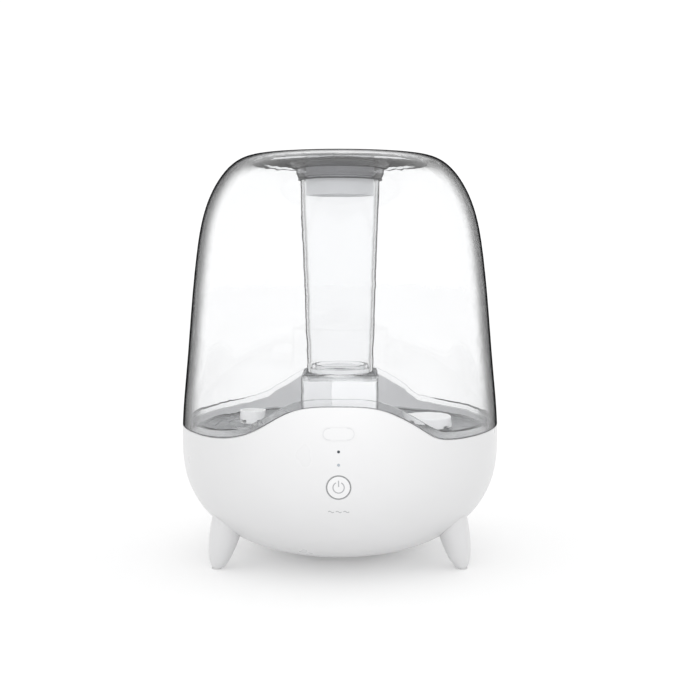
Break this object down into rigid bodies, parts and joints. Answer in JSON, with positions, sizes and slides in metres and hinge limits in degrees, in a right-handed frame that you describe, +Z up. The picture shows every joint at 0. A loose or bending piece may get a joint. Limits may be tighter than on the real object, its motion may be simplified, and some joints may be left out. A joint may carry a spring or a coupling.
{
  "type": "cool mist humidifier",
  "caption": "Tabletop ultrasonic cool mist humidifier: clear domed water tank on a white bowl base with three stubby legs, and a smoky lift-off lid.",
  "frame": {"origin": "on the floor, under the middle of the bowl", "axes": "+Z is up, -Y is the front with the power button, +X is to the right seen from the front"},
  "size_m": [0.25, 0.25, 0.315],
  "materials": {
    "white_shell": "satin white moulded ABS",
    "button_white": "satin white moulded ABS",
    "bezel_grey": "thin grey ring",
    "lamp_lens": "smoked acrylic",
    "inner_white": "glossy white ABS",
    "duct_white": "glossy white ABS",
    "duct_grey": "grey ABS",
    "float_foam": "closed-cell float plastic",
    "clear_tank": "clear polished acrylic",
    "tank_floor_grey": "translucent grey moulded plastic",
    "smoky_lid": "dark smoky acrylic",
    "nozzle_grey": "satin grey plastic",
    "dark_seal": "dark silicone",
    "milky_seal": "milky silicone",
    "rubber_foot": "pale grey silicone pad",
    "steel": "zinc-plated and stainless steel",
    "acetal": "natural acetal",
    "filter_foam": "open-cell filter foam",
    "circuit_board": "green solder mask",
    "black_plastic": "black moulded plastic",
    "aluminium": "extruded",
    "piezo_ceramic": "silvered ceramic disc",
    "magnet": "sintered ferrite",
    "wire_black": "PVC insulation"
  },
  "bodies": {
    "base": {"base_shell": "white_shell", "bottom_cover": "white_shell", "cover_screws": "steel", "intake_filter": "filter_foam", "leg_front_left": "white_shell", "leg_front_right": "white_shell", "leg_rear": "white_shell", "foot_pads": "rubber_foot", "leg_screws": "steel", "button_bezel": "bezel_grey", "control_board": "circuit_board", "tact_switch": "black_plastic", "lamp_lens_upper": "lamp_lens", "lamp_lens_lower": "lamp_lens", "front_plate": "white_shell", "power_inlet": "black_plastic", "inlet_nut": "steel", "water_deck": "inner_white", "deck_gasket": "dark_seal", "deck_screws": "steel", "mist_chamber": "inner_white", "air_duct": "duct_white", "valve_post": "inner_white", "reed_sensor": "black_plastic", "transducer_disc": "piezo_ceramic", "transducer_seal": "dark_seal", "clamp_ring": "steel", "clamp_screws": "steel", "oscillator_board": "circuit_board", "heat_sink": "aluminium", "fan_frame": "black_plastic", "fan_duct": "duct_grey", "fan_screws": "steel", "power_board": "circuit_board", "inlet_lead": "wire_black", "fan_lead": "wire_black", "panel_lead": "wire_black"},
    "fan": {"fan_rotor": "black_plastic"},
    "button": {"power_button": "button_white"},
    "tray_float": {"level_float": "float_foam"},
    "tank": {"tank_shell": "clear_tank", "tank_floor": "tank_floor_grey", "mist_chimney": "clear_tank", "chimney_seal": "milky_seal", "valve_cup": "inner_white", "valve_spring": "steel", "float_cage": "inner_white"},
    "valve": {"valve_stem": "acetal", "valve_washer": "dark_seal", "valve_foot": "acetal"},
    "tank_float": {"low_water_float": "float_foam", "float_magnet": "magnet"},
    "lid": {"lid_plate": "smoky_lid", "lid_grip": "smoky_lid", "lid_seal": "dark_seal", "lid_collar": "clear_tank", "collar_seal": "dark_seal", "nozzle_sleeve": "nozzle_grey", "mist_nozzle": "nozzle_grey"}
  },
  "joints": [
    {"name": "fan_spin", "type": "hinge", "parent": "base", "child": "fan", "pos_m": [0.018, -0.018, 0.028], "axis": [0, 0, 1], "continuous": true},
    {"name": "button_press", "type": "slide", "parent": "base", "child": "button", "axis": [0, 1, 0], "range_m": [0, 0.0008], "stiffness_N_per_m": 600},
    {"name": "tray_float_slide", "type": "slide", "parent": "base", "child": "tray_float", "axis": [0, 0, 1], "range_m": [0, 0.007]},
    {"name": "tank_lift", "type": "slide", "parent": "base", "child": "tank", "axis": [0, 0, 1], "range_m": [0, 0.08]},
    {"name": "valve_drop", "type": "slide", "parent": "tank", "child": "valve", "axis": [0, 0, 1], "range_m": [-0.0016, 0], "deforming": ["valve_spring"]},
    {"name": "low_water_slide", "type": "slide", "parent": "tank", "child": "tank_float", "axis": [0, 0, 1], "range_m": [0, 0.002]},
    {"name": "lid_lift", "type": "slide", "parent": "tank", "child": "lid", "axis": [0, 0, 1], "range_m": [0, 0.05]}
  ],
  "couplings": [
    {"joint": "valve_drop", "follows": "tank_lift", "ratio": -0.02}
  ]
}
